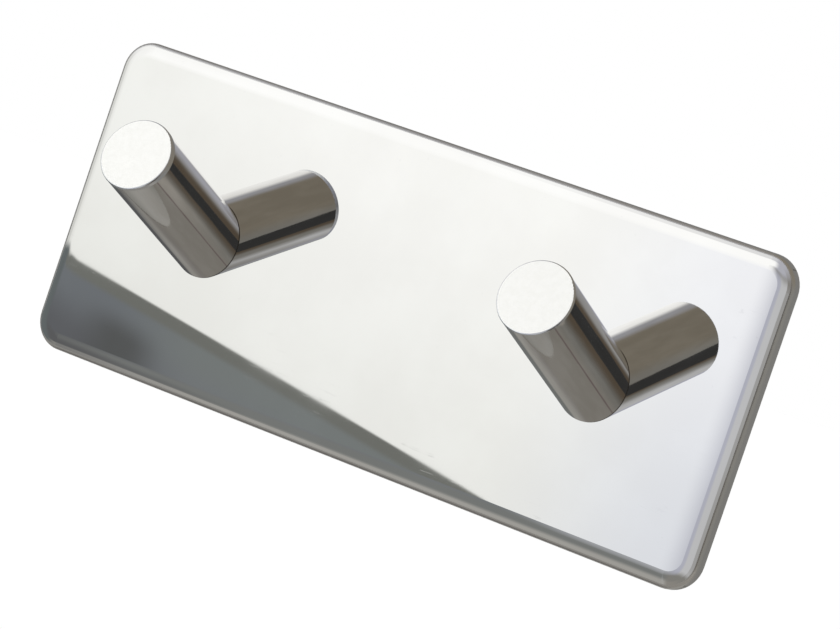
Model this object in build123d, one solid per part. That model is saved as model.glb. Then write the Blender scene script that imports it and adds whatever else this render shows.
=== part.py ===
"""Adhesive double hook: two round pegs leaning upwards from a shallow pressed steel plate.

The plate is one thin sheet of polished steel, pressed into a tray about as deep as a coin. Its
flat face eases into a gently sloping shoulder all round, and the shoulder turns through a tight
bend into a low wall. Each peg is a length of round bar, cut square at its free end and at a slant
where it stands on the plate. A short screw through the plate, from behind, holds each peg. A foam
pad with adhesive on both sides fills the tray, stands a little proud of its wall, and sticks the
hook to the house wall.

Millimetres and degrees. The frame is that of the hook in use: +X to the right, +Z up, and the
front facing -Y. The house wall is the plane y = 0, and the origin is the centre of the pad's back.
"""

import os
from math import cos, radians, sin, tan

from build123d import *

# Plate: one sheet, pressed into a tray. Sizes are outside sizes.
PLATE_WIDTH = 104.0
PLATE_HEIGHT = 43.7
SHEET = 0.6
RIM_DEPTH = 2.0
CORNER_RADIUS = 4.2
SHOULDER_WIDTH = 1.55  # from the plate's edge to where the shoulder's slope would meet the face
SHOULDER_SLOPE = 15.0
SHOULDER_EASE = 5.0  # radius from the face into the shoulder
BEND_RADIUS = 0.7  # from the shoulder into the wall
LEAST_BEND_RADIUS = 0.1
RIM_EDGE_BREAK = 0.1

# Pegs: round bar that leans upwards from the plate
PEG_DIAMETER = 10.0
PEG_SPACING = 60.5
PEG_LEAN = 19.8
PEG_REACH = 24.25  # along the peg's axis, from the plate's front to the middle of the free end
PEG_DROP = 0.67  # from the plate's middle down to the middle of the peg's foot
PEG_END_RADIUS = 0.25
PEG_FOOT_BREAK = 0.12

# Screws: thin-headed, driven from behind the plate into the peg's foot
SCREW_DIAMETER = 4.0
SCREW_LENGTH = 6.0  # under the head
SCREW_TIP_BREAK = 0.5
HEAD_DIAMETER = 7.6
HEAD_HEIGHT = 1.0
HEAD_EDGE_BREAK = 0.3
SOCKET_ACROSS_FLATS = 2.0
SOCKET_DEPTH = 1.3
THREAD_GAP = 0.05  # round the screw in the peg's hole
PLATE_HOLE_GAP = 0.2  # round the screw in the plate's hole
HOLE_END_GAP = 0.6  # beyond the screw's tip, before the drill's cone
DRILL_POINT_ANGLE = 118.0

# Pad: foam with adhesive on both faces
PAD_THICKNESS = 1.8
PAD_RIM_GAP = 0.6  # from the pad's edge to where the tray's floor starts to curve
PAD_HEAD_GAP = 0.6  # round each screw's head
LEAST_PAD_CORNER = 0.5

# Places that follow from the sizes above
FLOOR_Y = -PAD_THICKNESS  # the tray's floor, which the pad and the screw heads bear on
FACE_Y = FLOOR_Y - SHEET  # the plate's front
CORNER_X = PLATE_WIDTH / 2 - CORNER_RADIUS
CORNER_Z = PLATE_HEIGHT / 2 - CORNER_RADIUS
PEG_RADIUS = PEG_DIAMETER / 2
PEG_DIRECTION = (0, -cos(radians(PEG_LEAN)), sin(radians(PEG_LEAN)))
SIDES = {"left": -1, "right": 1}


def upright(y):
    """The plane that faces forwards at depth y, with its x to the right and its y up."""
    return Plane(origin=(0, y, 0), x_dir=(1, 0, 0), z_dir=(0, -1, 0))


def foot(side):
    """The middle of a peg's foot, on the plate's front."""
    return SIDES[side] * PEG_SPACING / 2, FACE_Y, -PEG_DROP


def shoulder_width(inset):
    """Width of the shoulder on a skin that lies inset millimetres inside the plate's outside."""
    return SHOULDER_WIDTH - inset + inset * tan(radians(SHOULDER_SLOPE / 2))


def rim_section(inset, front_y, back_y):
    """From the middle of a corner out to the plate's edge, inset millimetres inside its outside."""
    reach = CORNER_RADIUS - inset
    shoulder = shoulder_width(inset)
    crease = (reach - shoulder, front_y)
    knee = (reach, front_y + shoulder * tan(radians(SHOULDER_SLOPE)))
    section = make_face(Polyline((0, front_y), crease, knee, (reach, back_y), (0, back_y), close=True))
    for point, radius in ((crease, SHOULDER_EASE - inset), (knee, max(BEND_RADIUS - inset, LEAST_BEND_RADIUS))):
        section = fillet(section.vertices().sort_by_distance(point)[0], radius)
    return section


def pressed_slab(inset, front_y, back_y):
    """A slab with the plate's rim: the section turned about each corner and drawn along each side."""
    section = rim_section(inset, front_y, back_y)
    slab = extrude(upright(front_y) * Rectangle(2 * CORNER_X, 2 * CORNER_Z), front_y - back_y)
    corners = ((CORNER_X, -CORNER_Z), (CORNER_X, CORNER_Z), (-CORNER_X, CORNER_Z), (-CORNER_X, -CORNER_Z))
    lengths = (2 * CORNER_Z, 2 * CORNER_X) * 2
    for quarter, ((x, z), length) in enumerate(zip(corners, lengths)):
        turn = radians(90 * quarter)
        outwards = (cos(turn), 0, sin(turn))
        onwards = (-sin(turn), 0, cos(turn))
        placed = Plane(origin=(x, 0, z), x_dir=outwards, z_dir=onwards) * section
        slab += extrude(placed, length)
        slab += revolve(placed, axis=Axis((x, 0, z), (0, 1, 0)), revolution_arc=90)
    return slab


def front_edges(slab):
    return slab.faces().sort_by(Axis.Y)[0].edges()


def back_edges(slab):
    return slab.faces().sort_by(Axis.Y)[-1].edges()


def driven_hole(side, radius, from_y, depth):
    """A round bar along -Y through the middle of a peg's foot, for cutting holes."""
    x, _, z = foot(side)
    start = Plane(origin=(x, from_y, z), x_dir=(1, 0, 0), z_dir=(0, -1, 0))
    return extrude(start * Circle(radius), depth)


def make_plate():
    """The pressed tray: a slab with a rim, hollowed from behind to one sheet's thickness."""
    outside = pressed_slab(0, FACE_Y, FACE_Y + RIM_DEPTH)
    outside = chamfer(back_edges(outside), RIM_EDGE_BREAK)
    plate = outside - pressed_slab(SHEET, FLOOR_Y, FACE_Y + RIM_DEPTH + 1)
    for side in SIDES:
        plate -= driven_hole(side, SCREW_DIAMETER / 2 + PLATE_HOLE_GAP, FLOOR_Y, SHEET)
    return plate


def make_peg(side):
    """Round bar with a square end and a slanting foot, drilled square to the foot for its screw."""
    middle = foot(side)
    along = Plane(origin=middle, x_dir=(1, 0, 0), z_dir=PEG_DIRECTION)
    behind_foot = 2 * PEG_RADIUS * tan(radians(PEG_LEAN)) + 1
    bar = extrude(along.offset(-behind_foot) * Circle(PEG_RADIUS), PEG_REACH + behind_foot)
    peg = split(bar, bisect_by=upright(FACE_Y), keep=Keep.TOP)
    free_end = peg.faces().sort_by(Axis(middle, PEG_DIRECTION))[-1]
    peg = fillet(free_end.edges(), PEG_END_RADIUS)
    peg = chamfer(back_edges(peg), PEG_FOOT_BREAK)
    hole_radius = SCREW_DIAMETER / 2 + THREAD_GAP
    hole_depth = SCREW_LENGTH - SHEET + HOLE_END_GAP
    point_length = hole_radius / tan(radians(DRILL_POINT_ANGLE / 2))
    x, _, z = middle
    bottom = Plane(origin=(x, FACE_Y - hole_depth, z), x_dir=(1, 0, 0), z_dir=(0, -1, 0))
    point = bottom * Cone(hole_radius, 0, point_length, align=(Align.CENTER, Align.CENTER, Align.MIN))
    return peg - driven_hole(side, hole_radius, FACE_Y, hole_depth) - point


def make_screw(side):
    """Screw with a thin round head and a six-sided socket; its shank is the thread's outside."""
    x, _, z = foot(side)
    seat = Plane(origin=(x, FLOOR_Y, z), x_dir=(1, 0, 0), z_dir=(0, -1, 0))
    head = extrude(seat * Circle(HEAD_DIAMETER / 2), -HEAD_HEIGHT)
    head = chamfer(back_edges(head), HEAD_EDGE_BREAK)
    shank = extrude(seat * Circle(SCREW_DIAMETER / 2), SCREW_LENGTH)
    shank = chamfer(front_edges(shank), SCREW_TIP_BREAK)
    socket_plane = seat.offset(-HEAD_HEIGHT)
    hexagon = RegularPolygon(SOCKET_ACROSS_FLATS / 2, 6, major_radius=False)
    socket = extrude(socket_plane * hexagon, SOCKET_DEPTH)
    return head + shank - socket


def make_pad():
    """Foam pad on the tray's flat floor, with a round hole over each screw's head."""
    ease_width = (SHOULDER_EASE - SHEET) * tan(radians(SHOULDER_SLOPE / 2))
    inset = SHEET + shoulder_width(SHEET) + ease_width + PAD_RIM_GAP
    corner = max(CORNER_RADIUS - inset, LEAST_PAD_CORNER)
    outline = RectangleRounded(PLATE_WIDTH - 2 * inset, PLATE_HEIGHT - 2 * inset, corner)
    pad = extrude(upright(FLOOR_Y) * outline, -PAD_THICKNESS)
    for side in SIDES:
        pad -= driven_hole(side, HEAD_DIAMETER / 2 + PAD_HEAD_GAP, 0, PAD_THICKNESS)
    return pad


def main():
    os.makedirs("parts", exist_ok=True)
    export_step(make_plate(), "parts/plate.step")
    export_step(make_pad(), "parts/adhesive_pad.step")
    for side in SIDES:
        export_step(make_peg(side), f"parts/{side}_peg.step")
        export_step(make_screw(side), f"parts/{side}_screw.step")


main()
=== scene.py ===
"""Adhesive double hook, dressed and lit for its picture.

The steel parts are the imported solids, with procedural steel on them. The foam pad is modelled
here, with cut edges and adhesive films. Polished steel has no look of its own: it shows what
stands round it. So a big round screen stands round the hook, which only reflections see, with
a white side to the left, grey-brown sides elsewhere and a dark tabletop low on the left.

Metres and degrees, in the part's own frame: +X to the right, +Z up, the front facing -Y. The
materials measure in millimetres. A direction on the screen is an azimuth, which is 0 straight in
front of the hook and grows to its right, and an elevation, which is 0 at the hook's own height.
"""

from math import cos, pi, radians, sin

import bmesh
import bpy
from mathutils import Matrix, Vector


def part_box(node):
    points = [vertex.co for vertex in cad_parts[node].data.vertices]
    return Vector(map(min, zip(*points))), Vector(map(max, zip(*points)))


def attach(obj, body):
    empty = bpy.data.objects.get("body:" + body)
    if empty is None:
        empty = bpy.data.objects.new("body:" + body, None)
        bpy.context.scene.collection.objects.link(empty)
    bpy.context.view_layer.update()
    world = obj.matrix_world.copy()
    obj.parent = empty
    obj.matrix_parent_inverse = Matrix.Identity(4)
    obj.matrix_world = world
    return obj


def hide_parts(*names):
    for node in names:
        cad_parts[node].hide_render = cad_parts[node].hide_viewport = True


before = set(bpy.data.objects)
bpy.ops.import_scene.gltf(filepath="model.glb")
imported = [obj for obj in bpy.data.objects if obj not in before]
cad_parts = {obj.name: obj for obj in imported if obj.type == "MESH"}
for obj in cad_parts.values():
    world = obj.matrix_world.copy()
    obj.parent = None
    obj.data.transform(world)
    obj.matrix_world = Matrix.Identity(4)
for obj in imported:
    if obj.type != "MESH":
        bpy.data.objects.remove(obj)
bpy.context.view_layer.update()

MM = 0.001

# Camera: turned to the hook's right, a little above it, and rolled
AIM = Vector((3.956, -2.4, -0.33)) * MM
CAMERA_AZIMUTH = 28.162
CAMERA_ELEVATION = 2.494
CAMERA_ROLL = -18.823
CAMERA_DISTANCE = 472.742 * MM
LENS = 157.244  # millimetres
SENSOR_WIDTH = 36.0  # millimetres

# Places in the hook, read from the frame
PLATE_LOW, PLATE_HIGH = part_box("plate")
PAD_LOW, PAD_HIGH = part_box("adhesive_pad")
SCREW_LOW, SCREW_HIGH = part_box("right_screw")
PEG_PLACE_X = (SCREW_LOW.x + SCREW_HIGH.x) / 2
PEG_PLACE_Z = (SCREW_LOW.z + SCREW_HIGH.z) / 2

# Pegs
PEG_LEAN = 19.8
PEG_REACH = 24.25 * MM  # along the axis, from the plate's front to the free end
PEG_AXIS = Vector((0, -cos(radians(PEG_LEAN)), sin(radians(PEG_LEAN))))
PEG_END = PEG_AXIS.dot(Vector((0, PLATE_LOW.y, PEG_PLACE_Z))) + PEG_REACH

# Pad: a foam core between two films of adhesive
PAD_CORNER = 1.39 * MM
PAD_HEAD_GAP = 0.6 * MM  # round each screw's head
PAD_HOLE_RADIUS = (SCREW_HIGH.x - SCREW_LOW.x) / 2 + PAD_HEAD_GAP
FILM = 0.12 * MM
FILM_INSET = 0.15 * MM
CUT_EDGE_RADIUS = 0.2 * MM

# Marks in the steel. Lengths are millimetres.
SCRATCH_TURNS = (0.4, 1.5, 2.6)  # radians
SCRATCH_STRETCH = 0.035  # the pattern's scale along a scratch, against 1 across it
SCRATCH_SCALE = 0.55
SCRATCH_WIDTH = 0.006  # as a share of the noise's range
DULL_EDGE = 1.15  # from the plate's edge to where the dull strip behind it starts
BEND_NORMAL_Y = (-0.967, -0.952)  # the normal's y from the shoulder into the bend
BEVEL_WIDTH = 0.27  # the edge ground off at a peg's free end
WIDE_BEVEL_EXTRA = 0.62  # more of it on one side of the left peg
WIDE_BEVEL_SIDE = (0.87, 0.16, 0.46)
BEVEL_SLANT = 0.9  # how far the bevel's normal leans towards the peg's axis
BEVEL_BLUR = 0.04
FOOT_SHADE_START = 0.16  # painted shade in the crevice round a peg's foot, in front of the plate
FOOT_SHADE_FULL = 0.10
THREAD_PITCH = 0.7

# Surroundings: metres and degrees
FLOOR_DROP = 1.2
FLOOR_SIZE = 60.0
FLOOR_GLOW = 0.56
SCREEN_RADIUS = 1.15
CARD_WIDTH = 0.125
CARD_HEIGHT = 0.14
CARD_PLACE = (-0.006, 0, 0.01)  # from the camera, in its own directions
WORLD_STRENGTH = 0.55
LAMP_STRENGTH = 1.65
LAMP_SPREAD = 25
LAMP_TILT = 28  # about X
LAMP_TURN = -14  # about Y

# The tabletop's far edge on the round screen: its elevation falls steadily with the azimuth
TABLE_EDGE_SLOPE = -0.2093
TABLE_EDGE_LEVEL = -11.20
TABLE_EDGE_HIGHEST = -3.69
TABLE_SPOT_AZIMUTH = -34.0

# The brown ellipse round the camera on the screen
BROWN_AZIMUTH = 23.0
BROWN_ELEVATION = 1.0
BROWN_HALF_LENGTH = 22.0
BROWN_HALF_WIDTH = 11.0
BROWN_LEAN = 36.87  # to the left


class Shade:
    """Adds shader nodes to one node tree. Most calls give back the new node's output."""

    def __init__(self, tree):
        self.tree = tree
        self.tree.nodes.clear()

    def add(self, kind, output=0, settings=(), **inputs):
        """Adds one node. An input goes by its label, or by its place, as in i0."""
        node = self.tree.nodes.new(kind)
        for name, value in dict(settings).items():
            setattr(node, name, value)
        for name, value in inputs.items():
            by_place = name[0] == "i" and name[1:].isdigit()
            key = int(name[1:]) if by_place else name.replace("_", " ")
            self.put(node.inputs[key], value)
        return node.outputs[output] if node.outputs else None

    def put(self, socket, value):
        if isinstance(value, bpy.types.NodeSocket):
            self.tree.links.new(value, socket)
        else:
            socket.default_value = value

    def split(self, vector):
        """The three numbers of a vector."""
        node = self.tree.nodes.new("ShaderNodeSeparateXYZ")
        self.put(node.inputs[0], vector)
        return node.outputs

    def math(self, operation, *values):
        places = {f"i{k}": value for k, value in enumerate(values)}
        return self.add("ShaderNodeMath", settings={"operation": operation}, **places)

    def chain(self, operation, values):
        """Joins several values by one operation, from the first to the last."""
        total = values[0]
        for value in values[1:]:
            total = self.math(operation, total, value)
        return total

    def sum(self, *values):
        return self.chain("ADD", values)

    def product(self, *values):
        return self.chain("MULTIPLY", values)

    def minus(self, value, taken):
        return self.math("SUBTRACT", value, taken)

    def length(self, first, second):
        """The distance that two steps at right angles make together."""
        return self.math("SQRT", self.sum(self.product(first, first), self.product(second, second)))

    def dot(self, vector, direction):
        return self.add("ShaderNodeVectorMath", output="Value", settings={"operation": "DOT_PRODUCT"},
                        i0=vector, i1=tuple(direction))

    def fade(self, value, start, end, low=0.0, high=1.0):
        """Goes smoothly from low to high while value goes from start to end."""
        return self.add("ShaderNodeMapRange", settings={"interpolation_type": "SMOOTHSTEP"},
                        Value=value, From_Min=start, From_Max=end, To_Min=low, To_Max=high)

    def within(self, *limits):
        """The product of one fade for each limit, which is a value with its start and its end."""
        return self.product(*[self.fade(*limit) for limit in limits])

    def mix(self, factor, first, second):
        """Blends two colours."""
        return self.add("ShaderNodeMix", output=2, settings={"data_type": "RGBA"},
                        i0=factor, i6=first, i7=second)

    def mix_vectors(self, factor, first, second):
        return self.add("ShaderNodeMix", output=1, settings={"data_type": "VECTOR"},
                        i0=factor, i4=first, i5=second)

    def mix_numbers(self, factor, first, second):
        return self.add("ShaderNodeMix", output=0, settings={"data_type": "FLOAT"},
                        i0=factor, i2=first, i3=second)

    def noise(self, vector, scale, detail=2.0, roughness=0.5):
        return self.add("ShaderNodeTexNoise", Vector=vector, Scale=scale, Detail=detail,
                        Roughness=roughness)

    def stretch(self, vector, scale, rotation=(0, 0, 0)):
        return self.add("ShaderNodeMapping", Vector=vector, Scale=scale, Rotation=rotation)

    def bump(self, height, strength, distance, **more):
        return self.add("ShaderNodeBump", Height=height, Strength=strength, Distance=distance, **more)

    def glow(self, colour, strength=1.0):
        return self.add("ShaderNodeEmission", Color=colour, Strength=strength)

    def surface(self, shader):
        self.add("ShaderNodeOutputMaterial", Surface=shader)

    def solid(self, colour, roughness, bump, metal=0.0):
        """Makes the material a plain solid one, or a metal where metal is 1."""
        self.surface(self.add("ShaderNodeBsdfPrincipled", Base_Color=colour, Metallic=metal,
                              Roughness=roughness, Normal=bump))


def new_material(name):
    material = bpy.data.materials.new(name)
    material.use_nodes = True
    return material, Shade(material.node_tree)


def grey(value):
    return value, value, value, 1.0


def dress(node_name, material):
    """Puts a material on every slot of one of the hook's solids."""
    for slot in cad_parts[node_name].material_slots:
        slot.material = material


def object_place(shade):
    """The place on the object in millimetres, as a vector and as its three numbers."""
    place = shade.add("ShaderNodeTexCoord", output="Object")
    in_mm = shade.add("ShaderNodeVectorMath", settings={"operation": "SCALE"}, i0=place, Scale=1 / MM)
    return in_mm, shade.split(in_mm)


def hair_scratches(shade, place):
    """Thin short lines in three directions: 1 on a line, 0 elsewhere."""
    lines = None
    for turn in SCRATCH_TURNS:
        along = shade.stretch(place, (SCRATCH_STRETCH, 1.0, 1.0), (0, turn, 0))
        field = shade.noise(along, SCRATCH_SCALE, 1.0, 0.4)
        near = shade.math("ABSOLUTE", shade.minus(field, 0.5))
        line = shade.fade(near, 0.0, SCRATCH_WIDTH, 1.0, 0.0)
        patches = shade.fade(shade.noise(place, 0.11 + 0.05 * turn, 2.0), 0.60, 0.68)
        line = shade.product(line, patches)
        lines = line if lines is None else shade.math("MAXIMUM", lines, line)
    return lines


def dull_strip(shade, x, y, z):
    """1 on a thin strip along the inner side of the plate's shoulder, 0 elsewhere."""
    floor = PAD_LOW.y / MM
    half_width = PLATE_HIGH.x / MM - DULL_EDGE
    half_height = PLATE_HIGH.z / MM - DULL_EDGE
    behind_floor = shade.fade(y, floor + 0.05, floor + 0.15)
    within_width = shade.math("LESS_THAN", shade.math("ABSOLUTE", x), half_width)
    within_height = shade.math("LESS_THAN", shade.math("ABSOLUTE", z), half_height)
    return shade.product(behind_floor, within_width, within_height)


def plate_steel():
    """Mirror-polished sheet, with faint haze, hair scratches and a dull strip behind."""
    material, shade = new_material("polished_plate")
    place, (x, y, z) = object_place(shade)
    haze = shade.noise(place, 0.055, 4.0, 0.55)
    specks = shade.fade(shade.noise(place, 1.9, 1.0), 0.215, 0.19)
    dull = dull_strip(shade, x, y, z)
    colour = shade.mix(shade.fade(haze, 0.38, 0.66), (0.815, 0.812, 0.805, 1), (0.845, 0.845, 0.84, 1))
    colour = shade.mix(shade.product(specks, 0.12), colour, grey(0.55))
    colour = shade.mix(dull, colour, (0.56, 0.56, 0.55, 1))

    _, normal_y, _ = shade.split(shade.add("ShaderNodeTexCoord", output="Normal"))
    bend = shade.fade(normal_y, *BEND_NORMAL_Y)
    roughness = shade.fade(haze, 0.3, 0.75, 0.008, 0.022)
    for marks, rougher in ((hair_scratches(shade, place), 0.05), (dull, 0.34), (bend, 0.27)):
        roughness = shade.sum(roughness, shade.product(marks, rougher))
    grain = shade.noise(shade.stretch(place, (0.25, 9.0, 9.0)), 1.0, 3.0)
    bump = shade.bump(shade.product(grain, dull), 0.12, 0.00002)
    shade.solid(colour, roughness, bump, metal=1.0)
    return material


def end_bevel(shade, place, x, normal):
    """The edge ground off at the free end, wide on one side of the left bar: 1 on it, and its normal."""
    side = shade.fade(shade.dot(normal, WIDE_BEVEL_SIDE), -0.9, 0.9, 0.0, WIDE_BEVEL_EXTRA)
    on_left_peg = shade.math("LESS_THAN", x, 0.0)
    width = shade.sum(shade.product(side, on_left_peg), BEVEL_WIDTH)
    along = shade.dot(place, PEG_AXIS)
    into = shade.minus(along, shade.minus(PEG_END / MM, width))
    bevel = shade.fade(into, -BEVEL_BLUR, BEVEL_BLUR)
    straight = shade.add("ShaderNodeNewGeometry", output="Normal")
    slanted = shade.add("ShaderNodeVectorMath", settings={"operation": "ADD"},
                        i0=straight, i1=tuple(PEG_AXIS * BEVEL_SLANT))
    slanted = shade.add("ShaderNodeVectorMath", settings={"operation": "NORMALIZE"}, i0=slanted)
    return bevel, shade.mix_vectors(bevel, straight, slanted)


def bar_steel():
    """Polished round bar: fine grain along the bar, and a finely ground free end."""
    material, shade = new_material("polished_bar")
    place, (x, y, _) = object_place(shade)
    along = shade.stretch(place, (1, 1, 1), (radians(PEG_LEAN), 0, 0))
    grain = shade.noise(shade.stretch(along, (1.0, 0.05, 1.0)), 2.6, 4.0, 0.6)
    cloud = shade.noise(shade.stretch(along, (1.0, 0.16, 1.0)), 0.55, 3.0, 0.55)
    mottle = shade.noise(place, 1.3, 4.0, 0.65)
    normal = shade.add("ShaderNodeTexCoord", output="Normal")
    end = shade.fade(shade.dot(normal, PEG_AXIS), 0.90, 0.97)
    bevel, bent = end_bevel(shade, place, x, normal)

    side_colour = shade.mix(shade.fade(cloud, 0.35, 0.68), (0.70, 0.69, 0.67, 1), (0.79, 0.785, 0.775, 1))
    end_colour = shade.mix(shade.fade(mottle, 0.35, 0.65), (0.95, 0.95, 0.916, 1), (0.98, 0.98, 0.95, 1))
    colour = shade.mix(end, side_colour, end_colour)
    foot = PLATE_LOW.y / MM
    # Painted shade: a dark line where the peg meets the plate, standing in for the shadow in that crevice
    foot_shade = shade.fade(y, foot - FOOT_SHADE_START, foot - FOOT_SHADE_FULL)
    colour = shade.mix(foot_shade, colour, (0.10, 0.09, 0.08, 1))
    ground_side = shade.product(bevel, shade.minus(1.0, end))
    colour = shade.mix(ground_side, colour, (0.79, 0.81, 0.84, 1))

    roughness = shade.fade(grain, 0.3, 0.7, 0.03, 0.07)
    roughness = shade.sum(roughness, shade.product(bevel, 0.14))
    roughness = shade.mix_numbers(end, roughness, 0.30)
    metal = shade.minus(1.0, shade.product(end, 0.85))
    bump = shade.bump(grain, 0.10, 0.00002, Normal=bent)
    shade.solid(colour, roughness, bump, metal)
    return material


def screw_steel():
    """Turned screw steel: a fine grain, and a thread on the shank, as bump."""
    material, shade = new_material("screw_steel")
    place, (_, y, _) = object_place(shade)
    thread = shade.math("SINE", shade.product(y, 2 * pi / THREAD_PITCH))
    shank = shade.math("LESS_THAN", y, PAD_LOW.y / MM - 0.02)
    grain = shade.noise(place, 5.0, 3.0)
    height = shade.sum(shade.product(grain, 0.15), shade.product(thread, shank))
    colour = shade.mix(grain, (0.58, 0.58, 0.57, 1), (0.66, 0.66, 0.66, 1))
    roughness = shade.fade(grain, 0.3, 0.7, 0.26, 0.40)
    shade.solid(colour, roughness, shade.bump(height, 0.35, 0.0002), metal=1.0)
    return material


def foam():
    """White acrylic foam with open cells where it was cut."""
    material, shade = new_material("adhesive_foam")
    place, _ = object_place(shade)
    cells = shade.add("ShaderNodeTexVoronoi", Vector=place, Scale=5.0)
    cloud = shade.noise(place, 0.18, 3.0)
    colour = shade.mix(cloud, (0.80, 0.80, 0.775, 1), (0.88, 0.88, 0.86, 1))
    roughness = shade.fade(cloud, 0.3, 0.7, 0.42, 0.55)
    shade.solid(colour, roughness, shade.bump(cells, 0.35, 0.0001))
    return material


def film():
    """The clear adhesive on the foam's faces: a thin glossy skin with small dents."""
    material, shade = new_material("adhesive_film")
    place, _ = object_place(shade)
    dents = shade.noise(place, 0.9, 3.0, 0.6)
    colour = shade.mix(dents, (0.83, 0.82, 0.78, 1), (0.89, 0.885, 0.85, 1))
    roughness = shade.fade(dents, 0.3, 0.7, 0.16, 0.32)
    shade.solid(colour, roughness, shade.bump(dents, 0.25, 0.0002))
    return material


def closed_line(curve, points):
    """Adds one closed straight-sided outline to a flat curve."""
    line = curve.splines.new("POLY")
    line.points.add(len(points) - 1)
    for point, (x, z) in zip(line.points, points):
        point.co = (x, z, 0, 1)
    line.use_cyclic_u = True


def rounded_outline(half_width, half_height, radius, steps=8):
    points = []
    for sign_x, sign_z, first in ((1, 1, 0), (-1, 1, 90), (-1, -1, 180), (1, -1, 270)):
        for step in range(steps + 1):
            turn = radians(first + 90 * step / steps)
            points.append((sign_x * (half_width - radius) + radius * cos(turn),
                           sign_z * (half_height - radius) + radius * sin(turn)))
    return points


def round_outline(x, z, radius, steps=40):
    turns = [2 * pi * step / steps for step in range(steps)]
    return [(x + radius * cos(turn), z + radius * sin(turn)) for turn in turns]


def pad_layer(name, front, back, inset, rounding, material):
    """One layer of the pad, from the depth front to the depth back, with the two holes in it."""
    curve = bpy.data.curves.new(name, "CURVE")
    curve.dimensions = "2D"
    curve.fill_mode = "BOTH"
    curve.extrude = (back - front) / 2 - rounding
    curve.bevel_depth = rounding
    curve.bevel_resolution = 2
    grow = inset + rounding
    closed_line(curve, rounded_outline(PAD_HIGH.x - grow, PAD_HIGH.z - grow, PAD_CORNER - inset))
    for x in (-PEG_PLACE_X, PEG_PLACE_X):
        closed_line(curve, round_outline(x, PEG_PLACE_Z, PAD_HOLE_RADIUS + grow))
    flat = bpy.data.objects.new(name + "_outline", curve)
    mesh = bpy.data.meshes.new_from_object(flat)
    bpy.data.objects.remove(flat)
    mesh.name = name
    mesh.transform(Matrix.Translation((0, (front + back) / 2, 0)) @ Matrix.Rotation(pi / 2, 4, "X"))
    mesh.materials.clear()
    mesh.materials.append(material)
    layer = bpy.data.objects.new(name, mesh)
    bpy.context.scene.collection.objects.link(layer)
    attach(layer, "root")
    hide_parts("adhesive_pad")
    return layer


def add_pad():
    """The foam with a film of adhesive on each face. The release liner is peeled off in use."""
    cells, skin = foam(), film()
    front, back = PAD_LOW.y, PAD_HIGH.y
    core = pad_layer("foam_core", front + FILM, back - FILM, 0.0, CUT_EDGE_RADIUS, cells)
    for name, first, last in (("front_film", front, front + FILM), ("back_film", back - FILM, back)):
        layer = pad_layer(name, first, last, FILM_INSET, 0.0, skin)


def add_camera():
    azimuth, elevation = radians(CAMERA_AZIMUTH), radians(CAMERA_ELEVATION)
    away = Vector((sin(azimuth) * cos(elevation), -cos(azimuth) * cos(elevation), sin(elevation)))
    level_right = Vector((cos(azimuth), sin(azimuth), 0))
    level_up = away.cross(level_right)
    roll = radians(CAMERA_ROLL)
    up = level_up * cos(roll) + level_right * sin(roll)
    right = up.cross(away)
    turn = Matrix((right, up, away)).transposed().to_4x4()
    data = bpy.data.cameras.new("camera")
    data.lens = LENS
    data.sensor_width = SENSOR_WIDTH
    camera = bpy.data.objects.new("camera", data)
    camera.matrix_world = Matrix.Translation(AIM + away * CAMERA_DISTANCE) @ turn
    bpy.context.scene.collection.objects.link(camera)
    bpy.context.scene.camera = camera
    return camera


def white_glow(shade, azimuth, elevation):
    """The white side's own colour: warm on the left, bluish at its right edge, whitest above."""
    right = shade.fade(azimuth, -36.5, -30)
    low = shade.mix(right, (0.93, 0.935, 0.895, 1), (0.985, 0.99, 0.955, 1))
    high = shade.mix(right, (1.05, 1.055, 1.02, 1), (1.125, 1.125, 1.10, 1))
    glow = shade.mix(shade.fade(elevation, -5.8, 1.2), low, high)
    bluish = shade.mix(shade.fade(elevation, -6.5, 1.5), (0.855, 0.88, 0.935, 1), (1.06, 1.07, 1.11, 1))
    glow = shade.mix(shade.fade(azimuth, -26, -20.8), glow, bluish)
    top = shade.mix(shade.fade(azimuth, -47, -33), (1.07, 1.07, 1.05, 1), (1.18, 1.18, 1.165, 1))
    return shade.mix(shade.fade(elevation, 2, 12), glow, top)


def white_side(shade, azimuth, elevation, colour):
    """The bright side on the left, which fills the flat plate, with a pale haze round its upper end."""
    rise = shade.sum(elevation, shade.product(azimuth, 0.4))
    haze = shade.within((rise, 42, 29), (elevation, 9, 16.5), (azimuth, 14, -6), (azimuth, -105, -85))
    pale = shade.mix(shade.fade(azimuth, -26, -16), (0.39, 0.39, 0.415, 1), (0.50, 0.505, 0.56, 1))
    colour = shade.mix(haze, colour, pale)

    # Its right edge is sharp below and soft above
    sharp = shade.fade(azimuth, -20.3, -21.2)
    nearer = shade.minus(azimuth, shade.fade(elevation, 13, 19, 0.0, 3.5))
    soft = shade.fade(nearer, -14.5, -21.5)
    edge = shade.mix_numbers(shade.fade(elevation, 0, 5), sharp, soft)
    white = shade.within((azimuth, -88, -50), (rise, 27, 13), (elevation, -40, -30))
    white = shade.product(edge, white)
    return shade.mix(white, colour, white_glow(shade, azimuth, elevation))


def table_edge(shade, azimuth):
    """The elevation of the tabletop's far edge."""
    edge = shade.sum(TABLE_EDGE_LEVEL, shade.product(azimuth, TABLE_EDGE_SLOPE))
    edge = shade.sum(edge, shade.fade(azimuth, -35.42, -35.65, 0.0, 0.05))
    edge = shade.math("MINIMUM", edge, TABLE_EDGE_HIGHEST)
    return shade.sum(edge, shade.fade(azimuth, -41, -58, 0.0, 0.22))


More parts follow.
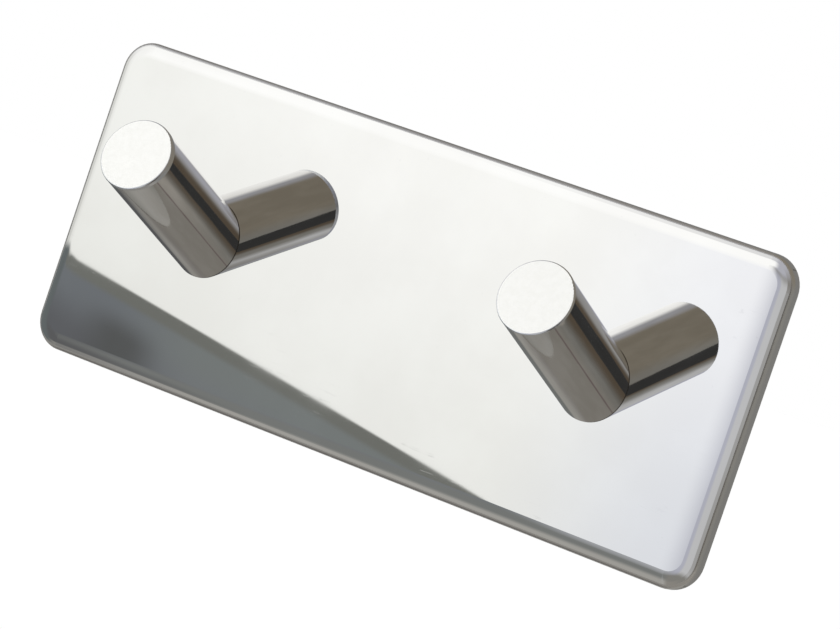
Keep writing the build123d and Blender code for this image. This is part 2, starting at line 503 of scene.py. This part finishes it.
def table_slate(shade, azimuth, below):
    """The tabletop's slate, going down from a darker line along its far edge."""
    right = shade.fade(azimuth, -34.6, -32.0)
    shallow = shade.mix(right, (0.176, 0.19, 0.205, 1), (0.208, 0.226, 0.224, 1))
    deep = shade.mix(right, (0.13, 0.135, 0.145, 1), (0.20, 0.213, 0.226, 1))
    slate = shade.mix(shade.fade(below, 0.5, 1.5), shallow, deep)
    from_spot = shade.math("ABSOLUTE", shade.minus(azimuth, TABLE_SPOT_AZIMUTH))
    spot = shade.within((from_spot, 1.15, 0.1), (below, 0.4, 1.1), (below, 4, 2))
    slate = shade.mix(spot, slate, (0.106, 0.110, 0.111, 1))
    slate = shade.mix(shade.fade(below, 0.22, 0.38), (0.18, 0.185, 0.17, 1), slate)
    near = shade.mix(shade.fade(azimuth, -39, -33), (0.12, 0.122, 0.126, 1), (0.208, 0.216, 0.21, 1))
    slate = shade.mix(shade.fade(below, 2.5, 10), slate, near)
    return shade.mix(shade.fade(azimuth, -46, -56), slate, (0.138, 0.155, 0.158, 1))


def tabletop(shade, azimuth, elevation, colour):
    """The dark tabletop, low on the left, which is paler at its right end and low down."""
    below = shade.minus(table_edge(shade, azimuth), elevation)
    slate = table_slate(shade, azimuth, below)
    tail = shade.within((azimuth, -25.6, -22.8), (elevation, -19, -11))
    slate = shade.mix(tail, slate, (0.40, 0.41, 0.43, 1))
    corner = shade.within((elevation, -24, -30), (azimuth, -41, -44))
    slate = shade.mix(corner, slate, (0.275, 0.27, 0.252, 1))
    strip = shade.within((elevation, -24, -30), (azimuth, -44, -36.5))
    strip_low = shade.fade(elevation, -34, -52)
    slate = shade.mix(strip, slate, shade.mix(strip_low, (0.41, 0.40, 0.375, 1), (0.25, 0.235, 0.225, 1)))
    blur = shade.fade(azimuth, -38, -48, 0.03, 0.12)
    table = shade.within((below, shade.product(blur, -1.0), blur), (azimuth, -15, -22.5),
                         (azimuth, -120, -60), (elevation, -58, -43))
    return shade.mix(table, colour, slate)


def round_the_camera(shade, azimuth, elevation, colour):
    """The brown room round the dark camera: an ellipse that leans to the left."""
    right = shade.minus(azimuth, BROWN_AZIMUTH)
    up = shade.minus(elevation, BROWN_ELEVATION)
    lean_cos, lean_sin = cos(radians(BROWN_LEAN)), sin(radians(BROWN_LEAN))
    along = shade.minus(shade.product(up, lean_cos / BROWN_HALF_LENGTH),
                        shade.product(right, lean_sin / BROWN_HALF_LENGTH))
    across = shade.sum(shade.product(right, lean_cos / BROWN_HALF_WIDTH),
                       shade.product(up, lean_sin / BROWN_HALF_WIDTH))
    off = shade.length(across, along)
    return shade.mix(shade.fade(off, 1.2, 0.55), colour, (0.12, 0.095, 0.07, 1))


def room(shade, azimuth, elevation):
    """The grey-brown room: its low, high and back parts, with a lit part low on the right."""
    low = shade.mix(shade.fade(elevation, -25, -33), (0.25, 0.243, 0.225, 1), (0.29, 0.275, 0.25, 1))
    colour = shade.mix(shade.fade(elevation, 6, 30), low, (0.243, 0.216, 0.174, 1))
    back = shade.mix(shade.fade(elevation, -44, -56), (0.275, 0.27, 0.25, 1), (0.348, 0.338, 0.315, 1))
    back = shade.mix(shade.fade(elevation, -36, -20), back, (0.225, 0.22, 0.21, 1))
    behind = shade.fade(shade.math("ABSOLUTE", azimuth), 80, 130)
    colour = shade.mix(behind, colour, back)
    lit = shade.within((azimuth, 36, 39), (azimuth, 80, 60), (elevation, -10, -22), (elevation, -46, -38))
    return shade.mix(lit, colour, (0.385, 0.362, 0.328, 1))


def middle_side(shade, azimuth, elevation, colour):
    """The pale middle, between the white side and the camera."""
    fall = shade.sum(elevation, shade.product(azimuth, 0.3))
    middle = shade.within((fall, -22.5, -14.5), (elevation, 16, 3), (azimuth, 16, 2), (azimuth, -60, -30))
    pale = shade.mix(shade.fade(azimuth, -7, -13), (0.585, 0.588, 0.60, 1), (0.49, 0.50, 0.58, 1))
    return shade.mix(middle, colour, pale)


def screen_direction(shade):
    """The azimuth and the elevation in which a point of the screen stands."""
    x, y, z = shade.split(shade.add("ShaderNodeTexCoord", output="Object"))
    azimuth = shade.math("DEGREES", shade.math("ARCTAN2", x, shade.product(y, -1.0)))
    elevation = shade.math("DEGREES", shade.math("ARCTAN2", z, shade.length(x, y)))
    return azimuth, elevation


def screen_light(shade):
    """What the round screen sends to the steel. Each thing covers the ones before it."""
    azimuth, elevation = screen_direction(shade)
    colour = room(shade, azimuth, elevation)
    colour = middle_side(shade, azimuth, elevation, colour)

    # A dim strip beside the camera, a thin dark line low on the right, and the dark low on the left
    dim = shade.within((azimuth, 27, 32), (azimuth, 37, 35), (elevation, -24, -18), (elevation, 4, -6))
    colour = shade.mix(dim, colour, (0.20, 0.195, 0.18, 1))
    colour = round_the_camera(shade, azimuth, elevation, colour)
    line = shade.within((elevation, -36.6, -35.4), (elevation, -33.6, -34.8), (azimuth, 27, 31))
    colour = shade.mix(line, colour, (0.19, 0.155, 0.15, 1))
    under = shade.within((elevation, -44, -54), (azimuth, -45, -75), (azimuth, -145, -115))
    colour = shade.mix(under, colour, (0.12, 0.112, 0.11, 1))

    colour = white_side(shade, azimuth, elevation, colour)
    return tabletop(shade, azimuth, elevation, colour)


def add_form(name, form):
    """Makes an object of its own, with its own material, out of a form, which is used up."""
    mesh = bpy.data.meshes.new(name)
    form.to_mesh(mesh)
    form.free()
    thing = bpy.data.objects.new(name, mesh)
    bpy.context.scene.collection.objects.link(thing)
    material, shade = new_material(name)
    mesh.materials.append(material)
    return thing, shade


def show_in_reflections_only(thing):
    thing.visible_camera = False
    thing.visible_diffuse = False
    thing.visible_shadow = False


def add_screen():
    """The round screen, which only reflections in the steel see."""
    form = bmesh.new()
    bmesh.ops.create_uvsphere(form, u_segments=96, v_segments=48, radius=SCREEN_RADIUS)
    screen, shade = add_form("screen", form)
    shade.surface(shade.glow(screen_light(shade)))
    show_in_reflections_only(screen)


def add_camera_card(camera):
    """The dark camera, as the steel shows it."""
    form = bmesh.new()
    bmesh.ops.create_grid(form, x_segments=1, y_segments=1, size=0.5)
    bmesh.ops.scale(form, vec=(CARD_WIDTH, CARD_HEIGHT, 1), verts=form.verts)
    card, shade = add_form("camera_card", form)
    card.matrix_world = camera.matrix_world @ Matrix.Translation(CARD_PLACE)
    shade.surface(shade.glow(grey(0.045)))
    show_in_reflections_only(card)


def seen_rays(shade):
    """1 for rays that show a background: from the camera, off polished metal and through glass."""
    path = shade.tree.nodes.new("ShaderNodeLightPath")
    rays = [path.outputs[name] for name in ("Is Camera Ray", "Is Glossy Ray", "Is Transmission Ray")]
    return shade.chain("MAXIMUM", rays)


def add_floor():
    """A pale floor, which glows a little where it is seen, and only there."""
    form = bmesh.new()
    bmesh.ops.create_grid(form, x_segments=1, y_segments=1, size=FLOOR_SIZE / 2)
    floor, shade = add_form("floor", form)
    floor.location.z = -FLOOR_DROP
    pale = shade.add("ShaderNodeBsdfDiffuse", Color=grey(0.8))
    shadowed = shade.add("ShaderNodeBsdfDiffuse", Color=grey(0.45))
    seen = shade.add("ShaderNodeAddShader", i0=shadowed, i1=shade.glow(grey(1.0), FLOOR_GLOW))
    shade.surface(shade.add("ShaderNodeMixShader", i0=seen_rays(shade), i1=pale, i2=seen))


def add_light():
    """White surroundings, a soft even light on what isn't metal, and one soft lamp from above."""
    world = bpy.data.worlds.new("studio")
    world.use_nodes = True
    bpy.context.scene.world = world
    shade = Shade(world.node_tree)
    strength = shade.mix_numbers(seen_rays(shade), WORLD_STRENGTH, 1.0)
    white = shade.add("ShaderNodeBackground", Color=grey(1.0), Strength=strength)
    shade.add("ShaderNodeOutputWorld", Surface=white)
    lamp = bpy.data.lights.new("lamp", "SUN")
    lamp.energy = LAMP_STRENGTH
    lamp.angle = radians(LAMP_SPREAD)
    holder = bpy.data.objects.new("lamp", lamp)
    holder.rotation_euler = (radians(LAMP_TILT), radians(LAMP_TURN), 0)
    holder.visible_glossy = False
    bpy.context.scene.collection.objects.link(holder)


camera = add_camera()
add_light()
add_floor()
add_screen()
add_camera_card(camera)
dress("plate", plate_steel())
bar = bar_steel()
screw = screw_steel()
for side in ("left", "right"):
    dress(side + "_peg", bar)
    dress(side + "_screw", screw)
add_pad()
bpy.context.scene.view_settings.view_transform = "Standard"
